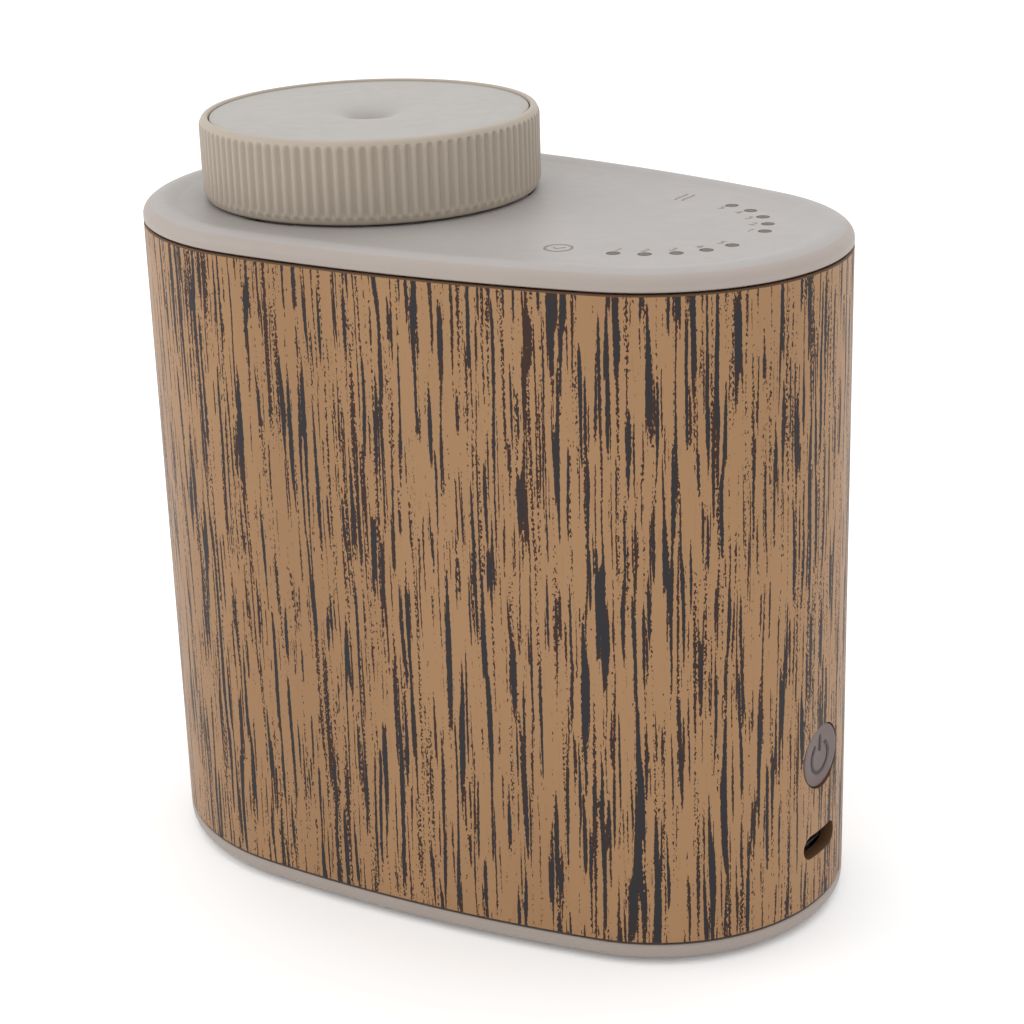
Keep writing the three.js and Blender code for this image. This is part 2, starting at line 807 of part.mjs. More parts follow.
const ivory = finish(0xbfb8b0, 0.5);
const wood = finish(0xb08458, 0.45);
const taupe = finish(0x9c8c7e, 0.5);
const rubber = finish(0x2c2b2a, 0.85);
const steel = finish(0xb9bcc0, 0.3, 0.9);
const clear = finish(0xe6e4dc, 0.2, 0, 0.6);
const amber = finish(0x7a3b10, 0.12, 0, 0.75);
const board = finish(0x1f5b3a, 0.5);
const dark = finish(0x26272a, 0.5);
const nylon = finish(0xd9d6cf, 0.6);

piece("sleeve", sleeve(), wood);
piece("top_cover", topCover(), ivory);
piece("base_cover", baseCover(), taupe);
PADS.forEach(([x, y], i) => {
  piece(`foot_pad_${i + 1}`, rod(PAD_R, 0, PAD_TOP, 0, 0, 16), rubber, [x, y, 0]);
});
SCREWS.forEach(([x, y], i) => {
  piece(`base_screw_${i + 1}`, screw(SCREW_HEAD_R, 1.7, 1.1, 7), steel, [x, y, 1.1]);
});

piece("bottle_well", bottleWell(), nylon, [BIG_END_X, 0, 0]);
const gasket = ring(WELL_R - 0.1, WELL_BORE_R + 0.2, WELL_TOP + GAP, GASKET_TOP, 28);
piece("well_gasket", gasket, rubber, [BIG_END_X, 0, 0]);
piece("air_socket", airSocket(), nylon, [BIG_END_X, 0, 0]);

piece("head_carrier", headCarrier(), nylon, [BIG_END_X, 0, 0]);
piece("neck_seal", ring(11.2, 8.4, NECK_TOP + GAP, HEAD_BOTTOM - GAP, 24), rubber, [BIG_END_X, 0, 0]);
piece("nozzle", nozzle(), steel, [BIG_END_X, 0, 0]);
piece("dip_tube", ring(TUBE_R, 0.45, 22.6, 106, 10), clear, [BIG_END_X, 0, 0]);
piece("oil_bottle", bottle(), amber, [BIG_END_X, 0, 0]);

piece("cap_ring", capRing(), taupe, [BIG_END_X, 0, 0]);
piece("cap_disc", capDisc(), ivory, [BIG_END_X, 0, 0]);
piece("cap_baffle", capBaffle(), nylon, [BIG_END_X, 0, 0]);

piece("power_button", powerButton(), taupe);
piece("usb_c_port", usbPort(), steel);
const boardEdge = MAIN_BOARD_X + BOARD_THICK;
piece("main_board", block(MAIN_BOARD_X, boardEdge, -13, 13, 10.4, 60), board);
const switchBody = block(boardEdge + GAP, 52.3, -3, 3, BUTTON_Z - 3, BUTTON_Z + 3);
piece("tact_switch", join(switchBody, rodAlongX(1.6, 52, 52.8, 0, BUTTON_Z, 12)), dark);

piece("touch_board", touchBoard(), board, [SMALL_END_X, 0, 0]);
BOARD_SCREWS.forEach(([x, y], i) => {
  piece(`board_screw_${i + 1}`, screw(2, 1.3, 0.8, 4.8), steel, [x, y, TOUCH_BOARD_Z - 1.6]);
});
piece("timer_light_guide", lightGuide(-1), clear, [SMALL_END_X, 0, 0]);
piece("level_light_guide", lightGuide(1), clear, [SMALL_END_X, 0, 0]);

piece("chassis", chassis(), nylon);
piece("upper_bracket", upperBracket(), nylon);
POSTS.forEach(([x, y], i) => {
  const head = [x, y, BRACKET_Z + BRACKET_THICK + 1.7];
  piece(`bracket_screw_${i + 1}`, screw(2.4, 1.4, 0.9, 7), steel, head, [Math.PI, 0, 0]);
});
piece("battery_cell", batteryCell(), finish(0x3b6fb0, 0.45), [...BATTERY, 0]);
piece("pump_motor", motor(), steel, [...PUMP, 0]);
piece("pump_head", pumpHead(), dark, [...PUMP, 0]);
piece("pump_diaphragm", pumpDiaphragm(), rubber, [...PUMP, 0]);
piece("pump_rotor", pumpRotor(), steel, [...PUMP, 0]);

const barbTip = BIG_END_X + 30;
const hosePath = [
  [PUMP[0], PUMP[1], PUMP_HEAD_TOP + 2.4],
  [PUMP[0], PUMP[1], NIPPLE_TOP + 2],
  [19, 12, 74],
  [16.5, 6.5, 84],
  [12.5, 1.2, 87.8],
  [barbTip, 0, AIR_PORT_Z],
  [barbTip - 4, 0, AIR_PORT_Z],
];
const hoseBore = [
  [PUMP[0], PUMP[1], PUMP_HEAD_TOP],
  ...hosePath,
  [barbTip - 6, 0, AIR_PORT_Z],
];
const hose = cut(cable(hosePath, 2.8, 14, 8), cable(hoseBore, 1.95, 18, 6));
piece("air_hose", hose, clear);
const batteryLead = [
  [BATTERY[0] + 1, BATTERY[1], BATTERY_BOTTOM + BATTERY_LENGTH + 1.3],
  [31, -14, 77],
  [40, -10, 75],
  [44.5, -8, 66],
  [44.5, -7, 56],
  [47.9, -7, 50],
];
piece("battery_lead", cable(batteryLead, 0.8, 12, 6), finish(0xa01818, 0.5));
const pumpLead = [
  [PUMP[0] + MOTOR_R + 0.3, PUMP[1], 30],
  [36, 13, 27],
  [42, 9, 32],
  [47.9, 7, 34],
];
piece("pump_lead", cable(pumpLead, 0.8, 10, 6), finish(0x18181a, 0.5));
const ribbonSide = [
  [46.5, 98.7],
  [46.5, 61],
  [48.7, 56],
  [48.7, 55],
  [48.3, 55],
  [46.1, 61],
  [46.1, 98.7],
].map(([x, z]) => new THREE.Vector2(x, z));
const ribbonGeometry = new THREE.ExtrudeGeometry(new THREE.Shape(ribbonSide), {
  depth: 8,
  bevelEnabled: false,
});
ribbonGeometry.rotateX(Math.PI / 2).translate(0, 4, 0);
piece("touch_ribbon", solid(ribbonGeometry), finish(0xc8a24a, 0.5));

export default group;
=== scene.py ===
import math

import bmesh
import bpy
from mathutils import Matrix, Vector


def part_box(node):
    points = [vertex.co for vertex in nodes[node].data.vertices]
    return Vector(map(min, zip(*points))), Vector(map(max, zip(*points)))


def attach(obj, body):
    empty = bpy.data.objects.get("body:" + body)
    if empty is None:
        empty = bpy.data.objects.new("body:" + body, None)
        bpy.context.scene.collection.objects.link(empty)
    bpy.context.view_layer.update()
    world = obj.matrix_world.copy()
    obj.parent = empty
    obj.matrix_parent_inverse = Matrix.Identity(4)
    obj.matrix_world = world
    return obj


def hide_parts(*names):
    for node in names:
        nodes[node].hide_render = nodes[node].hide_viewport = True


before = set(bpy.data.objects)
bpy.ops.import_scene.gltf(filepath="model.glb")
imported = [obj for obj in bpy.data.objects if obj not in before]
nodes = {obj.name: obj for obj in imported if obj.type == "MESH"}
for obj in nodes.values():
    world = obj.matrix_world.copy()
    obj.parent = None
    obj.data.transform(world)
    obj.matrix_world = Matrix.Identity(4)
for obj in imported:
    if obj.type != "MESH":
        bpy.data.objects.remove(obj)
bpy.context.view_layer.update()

MM = 0.001
GAP = 0.3 * MM

# the body's plan: a big end, a small end and two long side arcs that touch both
BIG_R = 36 * MM
SMALL_R = 29.5 * MM
SIDE_R = 236 * MM
SPACING = 51.15 * MM
BIG_X = (BIG_R - SMALL_R - SPACING) / 2
SMALL_X = BIG_X + SPACING
BIG_STEPS, SMALL_STEPS, SIDE_STEPS = 96, 72, 24

WALL = 2 * MM
LIP_OUTER = 2.3 * MM  # how far inside the plan the covers' lips start and end
LIP_INNER = 3.9 * MM
OVERLAP = 0.01 * MM  # how far a lip or collar reaches into the slab that it stands on
END_WALL = (50 * MM, 62 * MM)  # a span in X that holds the small end's wall
RECESS_GAP = 0.25 * MM

CAP_R = 26.45 * MM
CAP_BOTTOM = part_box("top_cover")[1].z + GAP
RIB_COUNT = 100
RIB_DEPTH = 0.55 * MM
LUG_ANGLES = [math.radians(30 + 120 * k) for k in range(3)]

DOT_RING_R = 17 * MM
DOT_R = 0.9 * MM
DOT_ANGLES = [16 + 15 * i for i in range(5)]

BUTTON_R = 4.98 * MM
BUTTON_HOLE_R = 5.14 * MM
BUTTON_Z = 27.9 * MM
PORT_Z = 13.6 * MM
PORT_SLOT = (9.4 * MM, 3.9 * MM)


# ---------------------------------------------------------------- materials
# Noise scales are in features per metre, bump distances in metres.


class Graph:
    """A node material built by short calls."""

    def __init__(self, name):
        self.material = bpy.data.materials.new(name)
        self.material.use_nodes = True
        self.tree = self.material.node_tree
        self.tree.nodes.clear()
        self.out = self.tree.nodes.new("ShaderNodeOutputMaterial")
        self.shader = self.tree.nodes.new("ShaderNodeBsdfPrincipled")
        self.link(self.shader.outputs[0], self.out.inputs[0])
        self.position = self.tree.nodes.new("ShaderNodeTexCoord").outputs["Object"]

    def link(self, a, b):
        self.tree.links.new(a, b)

    def put(self, socket, value):
        if isinstance(value, bpy.types.NodeSocket):
            self.link(value, socket)
        else:
            socket.default_value = value

    def set(self, **values):
        """Sets the shader's inputs, with _ for each space in an input's name."""
        for name, value in values.items():
            self.put(self.shader.inputs[name.replace("_", " ")], value)

    def vector(self, operation, a, b):
        node = self.tree.nodes.new("ShaderNodeVectorMath")
        node.operation = operation
        self.put(node.inputs[0], a)
        self.put(node.inputs[1], b)
        return node.outputs[0]

    def stretched(self, scale, vector=None):
        return self.vector("MULTIPLY", vector or self.position, scale)

    def add(self, a, b):
        return self.vector("ADD", a, b)

    def noise(self, scale, vector=None, detail=2.0, rough=0.5, colour=False):
        node = self.tree.nodes.new("ShaderNodeTexNoise")
        self.link(vector or self.position, node.inputs["Vector"])
        node.inputs["Scale"].default_value = scale
        node.inputs["Detail"].default_value = detail
        node.inputs["Roughness"].default_value = rough
        return node.outputs["Color" if colour else "Fac"]

    def math(self, operation, a, b):
        node = self.tree.nodes.new("ShaderNodeMath")
        node.operation = operation
        self.put(node.inputs[0], a)
        self.put(node.inputs[1], b)
        return node.outputs[0]

    def step(self, value, low, high, to_low=0.0, to_high=1.0):
        """A soft step from to_low to to_high as the value goes from low to high."""
        node = self.tree.nodes.new("ShaderNodeMapRange")
        node.interpolation_type = "SMOOTHSTEP"
        self.put(node.inputs["Value"], value)
        node.inputs["From Min"].default_value = low
        node.inputs["From Max"].default_value = high
        node.inputs["To Min"].default_value = to_low
        node.inputs["To Max"].default_value = to_high
        return node.outputs[0]

    def mix(self, amount, a, b):
        node = self.tree.nodes.new("ShaderNodeMix")
        node.data_type = "RGBA"
        self.put(node.inputs["Factor"], amount)
        self.put(node.inputs["A"], a)
        self.put(node.inputs["B"], b)
        return node.outputs["Result"]

    def bump(self, height, strength, distance):
        node = self.tree.nodes.new("ShaderNodeBump")
        node.inputs["Strength"].default_value = strength
        node.inputs["Distance"].default_value = distance
        self.link(height, node.inputs["Height"])
        return node.outputs[0]


def linear(r, g, b):
    """An sRGB colour from 0 to 255 as linear RGBA."""

    def one(v):
        v /= 255
        return v / 12.92 if v <= 0.04045 else ((v + 0.055) / 1.055) ** 2.4

    return (one(r), one(g), one(b), 1.0)


def shade(colour, factor):
    return tuple(c * factor for c in colour[:3]) + (1.0,)


def plastic(name, colour, rough=0.5, grain=1.0, coat=0.0):
    """Moulded plastic: fine spark-eroded grain, faint mottling and uneven gloss."""
    g = Graph(name)
    mottle = g.noise(90, detail=3)
    speck = g.noise(3200, detail=1)
    tone = g.mix(g.step(mottle, 0.35, 0.65), shade(colour, 0.985), shade(colour, 1.01))
    tone = g.mix(g.step(speck, 0.55, 0.75, 0, 0.12), tone, shade(colour, 0.72))
    worn = g.noise(420, detail=2)
    g.set(
        Base_Color=tone,
        Roughness=g.step(worn, 0.3, 0.7, rough - 0.02, rough + 0.03),
        Normal=g.bump(g.noise(2600, detail=2), 0.12 * grain, 0.00006),
        Specular_IOR_Level=0.4,
    )
    if coat:
        g.set(Coat_Weight=coat, Coat_Roughness=0.25)
    return g.material


def metal(name, colour, rough=0.3, along=(1, 1, 0.05)):
    """Drawn or turned metal: fine lines along one direction and light handling marks."""
    g = Graph(name)
    lines = g.noise(5200, g.stretched(along), detail=2)
    smear = g.noise(180, detail=3)
    tone = g.mix(g.step(smear, 0.35, 0.7), shade(colour, 0.88), shade(colour, 1.06))
    g.set(
        Base_Color=tone,
        Roughness=g.step(lines, 0.3, 0.7, rough - 0.08, rough + 0.12),
        Normal=g.bump(lines, 0.15, 0.00004),
        Metallic=1.0,
    )
    return g.material


def rubber(name, colour, rough=0.75):
    """Matt rubber with a little dust."""
    g = Graph(name)
    dust = g.noise(900, detail=4)
    tone = g.mix(g.step(dust, 0.5, 0.75, 0, 0.35), colour, shade(colour, 1.8))
    g.set(
        Base_Color=tone,
        Roughness=g.step(dust, 0.3, 0.7, rough - 0.1, rough + 0.1),
        Normal=g.bump(g.noise(1800, detail=3), 0.2, 0.00008),
    )
    return g.material


def circuit_board(name):
    """Green solder mask with copper tracks faintly showing and scattered pads."""
    g = Graph(name)
    tracks = g.noise(420, g.stretched((1, 0.25, 1)), detail=0)
    line = g.step(g.math("PINGPONG", g.math("MULTIPLY", tracks, 9.0), 0.5), 0.2, 0.26)
    green = g.mix(line, linear(22, 74, 46), linear(34, 104, 62))
    pads = g.step(g.noise(900, detail=0), 0.73, 0.75)
    tone = g.mix(pads, green, linear(190, 180, 150))
    g.set(Base_Color=tone, Roughness=0.35, Normal=g.bump(line, 0.2, 0.00003))
    return g.material


def amber_glass(name):
    """Blown amber glass, slightly wavy."""
    g = Graph(name)
    flow = g.noise(60, g.stretched((1, 1, 0.4)), detail=2)
    g.set(
        Base_Color=g.mix(flow, linear(196, 112, 40), linear(226, 146, 66)),
        Roughness=g.step(flow, 0.3, 0.7, 0.03, 0.07),
        Normal=g.bump(flow, 0.15, 0.0002),
        Transmission_Weight=1.0,
        IOR=1.5,
    )
    return g.material


def oil(name):
    g = Graph(name)
    swirl = g.noise(40, detail=2)
    g.set(
        Base_Color=g.mix(swirl, linear(236, 196, 96), linear(246, 214, 128)),
        Roughness=0.02,
        Transmission_Weight=1.0,
        IOR=1.46,
    )
    return g.material


def smoked_lens(name):
    """Dark tinted light pipe, cloudy inside."""
    g = Graph(name)
    cloud = g.noise(900, detail=3)
    tone = g.mix(cloud, linear(70, 60, 54), linear(96, 86, 78))
    g.set(Base_Color=tone, Roughness=g.step(cloud, 0.3, 0.7, 0.45, 0.6))
    return g.material


def print_ink(name, colour):
    """A thin layer of printed ink, uneven in tone and gloss."""
    g = Graph(name)
    patch = g.noise(2400, detail=2)
    tone = g.mix(g.step(patch, 0.4, 0.7), colour, shade(colour, 1.12))
    g.set(Base_Color=tone, Roughness=g.step(patch, 0.3, 0.7, 0.4, 0.55))
    return g.material


def printed_wood(name):
    """A tan film printed with upright dark pores: broad bars, thin lines and ragged dotted ones."""
    brown_ink, grey_ink = linear(54, 34, 27), linear(38, 37, 40)
    film_dark, film_light = linear(143, 109, 76), linear(151, 116, 82)
    film_fleck = linear(128, 94, 65)
    g = Graph(name)
    sway = g.noise(30, g.stretched((0.5, 0.5, 1)), detail=2, colour=True)
    fray = g.noise(2600, g.stretched((1, 1, 0.6)), detail=1, colour=True)
    moved = g.add(g.position, g.stretched((0.0009, 0.0009, 0.0), sway))
    moved = g.add(moved, g.stretched((0.00024, 0.00024, 0.0), fray))
    grit = g.noise(3600, g.stretched((1, 1, 0.6)), detail=1)
    cluster = g.noise(140, g.stretched((1, 1, 0.10), moved), detail=2)
    gate = g.step(cluster, 0.38, 0.62, -0.5, 0.5)

    def bars(scale, pull, edge, ragged, gather, shift):
        """Above zero inside the bars of one kind.

        scale sets their width, pull their length (smaller is longer), edge how few there are,
        ragged how dotted they are, gather how much they cluster, and shift keeps kinds apart.
        """
        spot = g.add(g.stretched((1, 1, pull), moved), shift)
        field = g.noise(scale, spot, detail=0.6, rough=0.4)
        field = g.math("ADD", field, g.math("MULTIPLY", gate, gather))
        grain = g.math("MULTIPLY", g.math("SUBTRACT", grit, 0.5), ragged)
        return g.math("SUBTRACT", g.math("ADD", field, grain), edge)

    broad = bars(1000, pull=0.044, edge=0.645, ragged=0.05, gather=0.015, shift=(0.0, 0.0, 0.0))
    thin = bars(1500, pull=0.038, edge=0.620, ragged=0.07, gather=0.015, shift=(0.31, 0.17, 0.0))
    hair = bars(2500, pull=0.027, edge=0.651, ragged=0.16, gather=0.04, shift=(0.73, 0.41, 0.0))
    dotted = bars(1700, pull=0.018, edge=0.682, ragged=0.60, gather=0.11, shift=(0.11, 0.93, 0.0))
    solid_bar = g.math("MAXIMUM", broad, thin)
    deepest = g.math("MAXIMUM", solid_bar, g.math("MAXIMUM", hair, dotted))
    ink = g.step(deepest, 0.0, 0.02)
    dark = g.mix(g.step(solid_bar, 0.015, 0.08), brown_ink, grey_ink)
    field = g.noise(30, g.stretched((1, 1, 0.25)), detail=3)
    ground = g.mix(g.step(field, 0.35, 0.65), film_dark, film_light)
    fleck = g.step(g.noise(1700, g.stretched((1, 1, 0.12)), detail=2), 0.6, 0.72, 0, 0.22)
    ground = g.mix(fleck, ground, film_fleck)
    g.set(
        Base_Color=g.mix(ink, ground, dark),
        Roughness=g.step(g.math("ADD", ink, g.noise(900, detail=2)), 0.2, 1.6, 0.42, 0.5),
        Normal=g.bump(g.math("SUBTRACT", 1.0, ink), 0.25, 0.00003),
        Specular_IOR_Level=0.2,
    )
    return g.material


mats = {
    "wood": printed_wood("printed_wood_film"),
    "edge": plastic("brown_shell_edge", linear(88, 60, 36), 0.6),
    "deck": plastic("deck_plastic", (0.335, 0.312, 0.298, 1), 0.48),
    # the rolled edge is the deck's own plastic in a warmer tone: painted light, for the edge that looks
    # brighter where it faces the lamps
    "roll": plastic("rolled_edge_painted_light", (0.334, 0.288, 0.257, 1), 0.48),
    "cap": plastic("cap_plastic", (0.368, 0.316, 0.256, 1), 0.5),
    "disc": plastic("disc_plastic", (0.326, 0.304, 0.281, 1), 0.45),
    "rim": plastic("rim_plastic", (0.309, 0.263, 0.233, 1), 0.48),
    "button": plastic("button_plastic", (0.108, 0.071, 0.067, 1), 0.42),
    "nylon": plastic("white_nylon", linear(226, 223, 214), 0.45),
    "black": plastic("black_plastic", linear(34, 34, 38), 0.45),
    "foot": rubber("foot_rubber", linear(52, 50, 48)),
    "seal": rubber("silicone_seal", linear(214, 208, 196), 0.5),
    "steel": metal("screw_steel", linear(196, 198, 202), 0.28, (1, 1, 1)),
    "can": metal("drawn_can", linear(186, 188, 192), 0.3),
    "nozzle": metal("turned_aluminium", linear(206, 208, 210), 0.25, (0.1, 0.1, 1)),
    "port": metal("port_shell", linear(120, 118, 116), 0.35, (0.05, 1, 1)),
    "board": circuit_board("circuit_board"),
    "glass": amber_glass("amber_glass"),
    "oil": oil("essential_oil"),
    "lens": smoked_lens("smoked_light_pipe"),
    "tube": plastic("milky_tube", linear(222, 222, 216), 0.35),
    "cell": plastic("cell_sleeve", linear(52, 104, 164), 0.3, 0.3, coat=0.5),
    "red": rubber("red_insulation", linear(168, 30, 26), 0.45),
    "wire": rubber("black_insulation", linear(28, 28, 30), 0.45),
    "film": plastic("polyimide_film", linear(196, 140, 58), 0.3, 0.4),
    "ink": print_ink("grey_print", linear(104, 96, 90)),
    "symbol": print_ink("brown_print", linear(28, 13, 12)),
}


# ----------------------------------------------------------------- geometry


def arc(x, y, r, start, end, steps):
    """Points along an arc, without its last one."""
    turns = [start + (end - start) * i / steps for i in range(steps)]
    return [(x + r * math.cos(t), y + r * math.sin(t)) for t in turns]


def outline(inset):
    """The body's egg-shaped plan, moved inwards by inset."""
    half = SPACING / 2
    to_big, to_small = SIDE_R - BIG_R, SIDE_R - SMALL_R
    side_x = (to_big**2 - to_small**2) / (4 * half)
    side_y = math.sqrt(to_big**2 - (side_x + half) ** 2)
    big = math.atan2(side_y, -half - side_x)
    small = math.atan2(side_y, half - side_x)
    x = (BIG_X + SMALL_X) / 2 + side_x
    return (
        arc(BIG_X, 0, BIG_R - inset, big, 2 * math.pi - big, BIG_STEPS)
        + arc(x, side_y, SIDE_R - inset, -big, -small, SIDE_STEPS)
        + arc(SMALL_X, 0, SMALL_R - inset, -small, small, SMALL_STEPS)
        + arc(x, -side_y, SIDE_R - inset, small, big, SIDE_STEPS)
    )


def in_mm(points, base=0.0):
    """Profile points given in millimetres, with heights above a base in metres."""
    return [(r * MM, base + z * MM) for r, z in points]


def footprint(name):
    """The middle and the radius of an upright round node."""
    a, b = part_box(name)
    return (a.x + b.x) / 2, (a.y + b.y) / 2, (b.x - a.x) / 2


def link(mesh, name):
    obj = bpy.data.objects.new(name, mesh)
    bpy.context.scene.collection.objects.link(obj)
    return obj


def mesh_object(name, verts, faces):
    mesh = bpy.data.meshes.new(name)
    mesh.from_pydata(verts, [], faces)
    mesh.validate()
    bm = bmesh.new()
    bm.from_mesh(mesh)
    bmesh.ops.recalc_face_normals(bm, faces=bm.faces)
    bm.to_mesh(mesh)
    bm.free()
    return link(mesh, name)


def skin(name, rings, closed=False):
    """Joins rings of equal length; closed joins the last to the first, else both ends are capped."""
    n = len(rings[0])
    verts = [p for ring in rings for p in ring]
    faces = []
    pairs = len(rings) if closed else len(rings) - 1
    for k in range(pairs):
        a, b = k * n, ((k + 1) % len(rings)) * n
        faces += [(a + i, a + (i + 1) % n, b + (i + 1) % n, b + i) for i in range(n)]
    if not closed:
        faces.append(tuple(range(n))[::-1])
        faces.append(tuple((len(rings) - 1) * n + i for i in range(n)))
    return mesh_object(name, verts, faces)


def body_rings(profile):
    """The plan's outline at each (inset, height) of a profile."""
    return [[(x, y, z) for x, y in outline(inset)] for inset, z in profile]


def inner_lip(name, start, end):
    """A thin wall that stands inside the sleeve, from one height to another."""
    section = [(LIP_OUTER, start), (LIP_OUTER, end), (LIP_INNER, end), (LIP_INNER, start)]
    return skin(name, body_rings(section), closed=True)


def turned(name, profile, segments=96, x=0.0, y=0.0, closed=True, groove=None):
    """A profile of (radius, height) turned about an upright axis, less groove(row, angle)."""
    rings = []
    for row, (r, z) in enumerate(profile):
        ring = []
        for i in range(segments):
            a = 2 * math.pi * i / segments
            reach = r - (groove(row, a) if groove else 0.0)
            ring.append((x + reach * math.cos(a), y + reach * math.sin(a), z))
        rings.append(ring)
    return skin(name, rings, closed)


def solid_turned(name, profile, segments=64, x=0.0, y=0.0):
    """A solid of revolution whose profile runs from one end cap to the other."""
    return turned(name, profile, segments, x, y, closed=False)


def rod(name, r, low, high, segments, x=0.0, y=0.0):
    return solid_turned(name, [(r, low), (r, high)], segments, x, y)


def x_rod(name, r, x0, x1, z, segments=64):
    """A rod along X at y = 0."""
    obj = rod(name, r, x0, x1, segments)
    obj.data.transform(Matrix.Rotation(math.pi / 2, 4, "Y"))
    obj.data.transform(Matrix.Translation((0, 0, z)))
    return obj


def prism(name, points, low, high):
    rings = [[(x, y, low) for x, y in points], [(x, y, high) for x, y in points]]
    return skin(name, rings)


def x_slot(name, width, height, x0, x1, z):
    """A bar along X with round sides, width across in Y and height in Z."""
    r = height / 2
    y = width / 2 - r
    quarter, steps = math.pi / 2, 12
    section = arc(y, 0, r, -quarter, quarter, steps) + [(y, r)]
    section += arc(-y, 0, r, quarter, 3 * quarter, steps) + [(-y, -r)]
    rings = [[(x, across, z + up) for across, up in section] for x in (x0, x1)]
    return skin(name, rings)


def wedge(name, middle, half, inner, outer, low, high):
    """A block between two radii and two angles round the big end's axis."""
    points = arc(BIG_X, 0, outer, middle - half, middle + half, 12)
    points += arc(BIG_X, 0, inner, middle + half, middle - half, 4)
    return prism(name, points, low, high)


def baked(obj):
    """Replaces the object's mesh with what its modifiers make."""
    bpy.context.view_layer.update()
    graph = bpy.context.evaluated_depsgraph_get()
    mesh = bpy.data.meshes.new_from_object(obj.evaluated_get(graph))
    obj.modifiers.clear()
    obj.data = mesh
    return obj


def carve(obj, *cutters):
    for cutter in cutters:
        m = obj.modifiers.new("cut", "BOOLEAN")
        m.operation = "DIFFERENCE"
        m.solver = "EXACT"
        m.object = cutter
        baked(obj)
        bpy.data.objects.remove(cutter)


def soften(obj, width, angle=50, segments=2):
    m = obj.modifiers.new("edge", "BEVEL")
    m.width = width
    m.segments = segments
    m.limit_method = "ANGLE"
    m.angle_limit = math.radians(angle)
    m.use_clamp_overlap = True
    return baked(obj)


def together(name, *parts):
    """Joins separate shells into one object."""
    bm = bmesh.new()
    for part in parts:
        bm.from_mesh(part.data)
        bpy.data.objects.remove(part)
    mesh = bpy.data.meshes.new(name)
    bm.to_mesh(mesh)
    bm.free()
    return link(mesh, name)


def place(obj, body, material, slot, *replaced, angle=32):
    """Gives a piece its shading, material, body and the CAD nodes it stands for; slot is not used."""
    obj.data.shade_smooth()
    obj.data.set_sharp_from_angle(angle=math.radians(angle))
    obj.data.materials.clear()
    obj.data.materials.append(mats[material])
    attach(obj, body)
    if replaced:
        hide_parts(*replaced)


def second_material(obj, material, wanted):
    """Gives the faces that are wanted another material."""
    obj.data.materials.append(mats[material])
    for face in obj.data.polygons:
        face.material_index = int(wanted(face))


# -------------------------------------------------------------------- shell


def build_sleeve():
    low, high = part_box("sleeve")[0].z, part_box("sleeve")[1].z
    chamfer = 0.22 * MM
    profile = [
        (chamfer, low),
        (0, low + chamfer),
        (0, high - chamfer),
        (chamfer, high),
        (WALL - chamfer, high),
        (WALL, high - chamfer),
        (WALL, low + chamfer),
        (WALL - chamfer, low),
    ]
    shell = skin("sleeve_shell", body_rings(profile), closed=True)
    hole = x_rod("hole", BUTTON_HOLE_R, *END_WALL, BUTTON_Z)
    slot = x_slot("slot", *PORT_SLOT, *END_WALL, PORT_Z)
    carve(shell, hole, slot)
    soften(shell, 0.3 * MM, 60, 3)
    place(shell, "housing", "wood", "wood_wrap", "sleeve")

    def unprinted(face):
        """Faces that look up, down, inwards or into the hole and the slot."""
        c, n = face.center, face.normal
        axis_x = min(max(c.x, BIG_X), SMALL_X)
        outwards = Vector((c.x - axis_x, c.y, 0)).normalized()
        return n.dot(outwards) < 0.8 or abs(n.z) > 0.5

    second_material(shell, "edge", unprinted)


def edge_curve(wall, flat):
    """Inset and height of the cover's rolled edge: up the wall, over a low crest, down to the deck."""
    crest, reach, back = flat + 0.45 * MM, 3.4 * MM, 5.8 * MM
    up_steps, down_steps = 14, 6
    points = []
    for i in range(up_steps + 1):
        t = i / up_steps * math.pi / 2
        points.append((reach * (1 - math.cos(t)), wall + (crest - wall) * math.sin(t)))
    for i in range(1, down_steps + 1):
        t = i / down_steps
        points.append((reach + (back - reach) * t, crest - (crest - flat) * t**1.25))
    return points


def dot_spot(side, angle, ring_r=DOT_RING_R):
    """The place of a dot on the timer side (-1) or the level side (1)."""
    a = math.radians(side * angle)
    return SMALL_X + ring_r * math.cos(a), ring_r * math.sin(a)


def build_deck():
    """The top cover: a slab with its bore, three notches and ten dot holes, a collar and a skirt."""
    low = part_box("sleeve")[1].z + GAP
    bottom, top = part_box("top_cover")[0].z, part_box("top_cover")[1].z
    bore_r, notch_r, collar_inner, collar_outer = 23.6 * MM, 25.6 * MM, 25.9 * MM, 27.5 * MM
    profile = [(0.25 * MM, low), (0, low + 0.2 * MM)] + edge_curve(low + 0.7 * MM, top)
    slab = skin("deck_shell", body_rings(profile))
    under, over = low - MM, top + MM
    cutters = [rod("bore", bore_r, under, over, 128, BIG_X)]
    for middle in LUG_ANGLES:
        cutters.append(wedge("notch", middle, math.radians(12), 20 * MM, notch_r, under, over))
    for side in (-1, 1):
        for angle in DOT_ANGLES:
            cutters.append(rod("dot", DOT_R + 0.12 * MM, under, over, 32, *dot_spot(side, angle)))
    carve(slab, *cutters)
    start, end = low - OVERLAP, bottom + 0.1 * MM
    section = [(collar_inner, start), (collar_inner, end), (collar_outer, end), (collar_outer, start)]
    collar = turned("collar", section, 96, BIG_X)
    deck = together("deck_shell", slab, collar, inner_lip("skirt", start, bottom))
    place(deck, "housing", "deck", "deck_plastic", "top_cover", angle=40)
    # faces that do not look straight up take the rolled edge's tone: painted light, chosen by which way
    # each face looks
    second_material(deck, "roll", lambda face: face.normal.z <= 0.9)


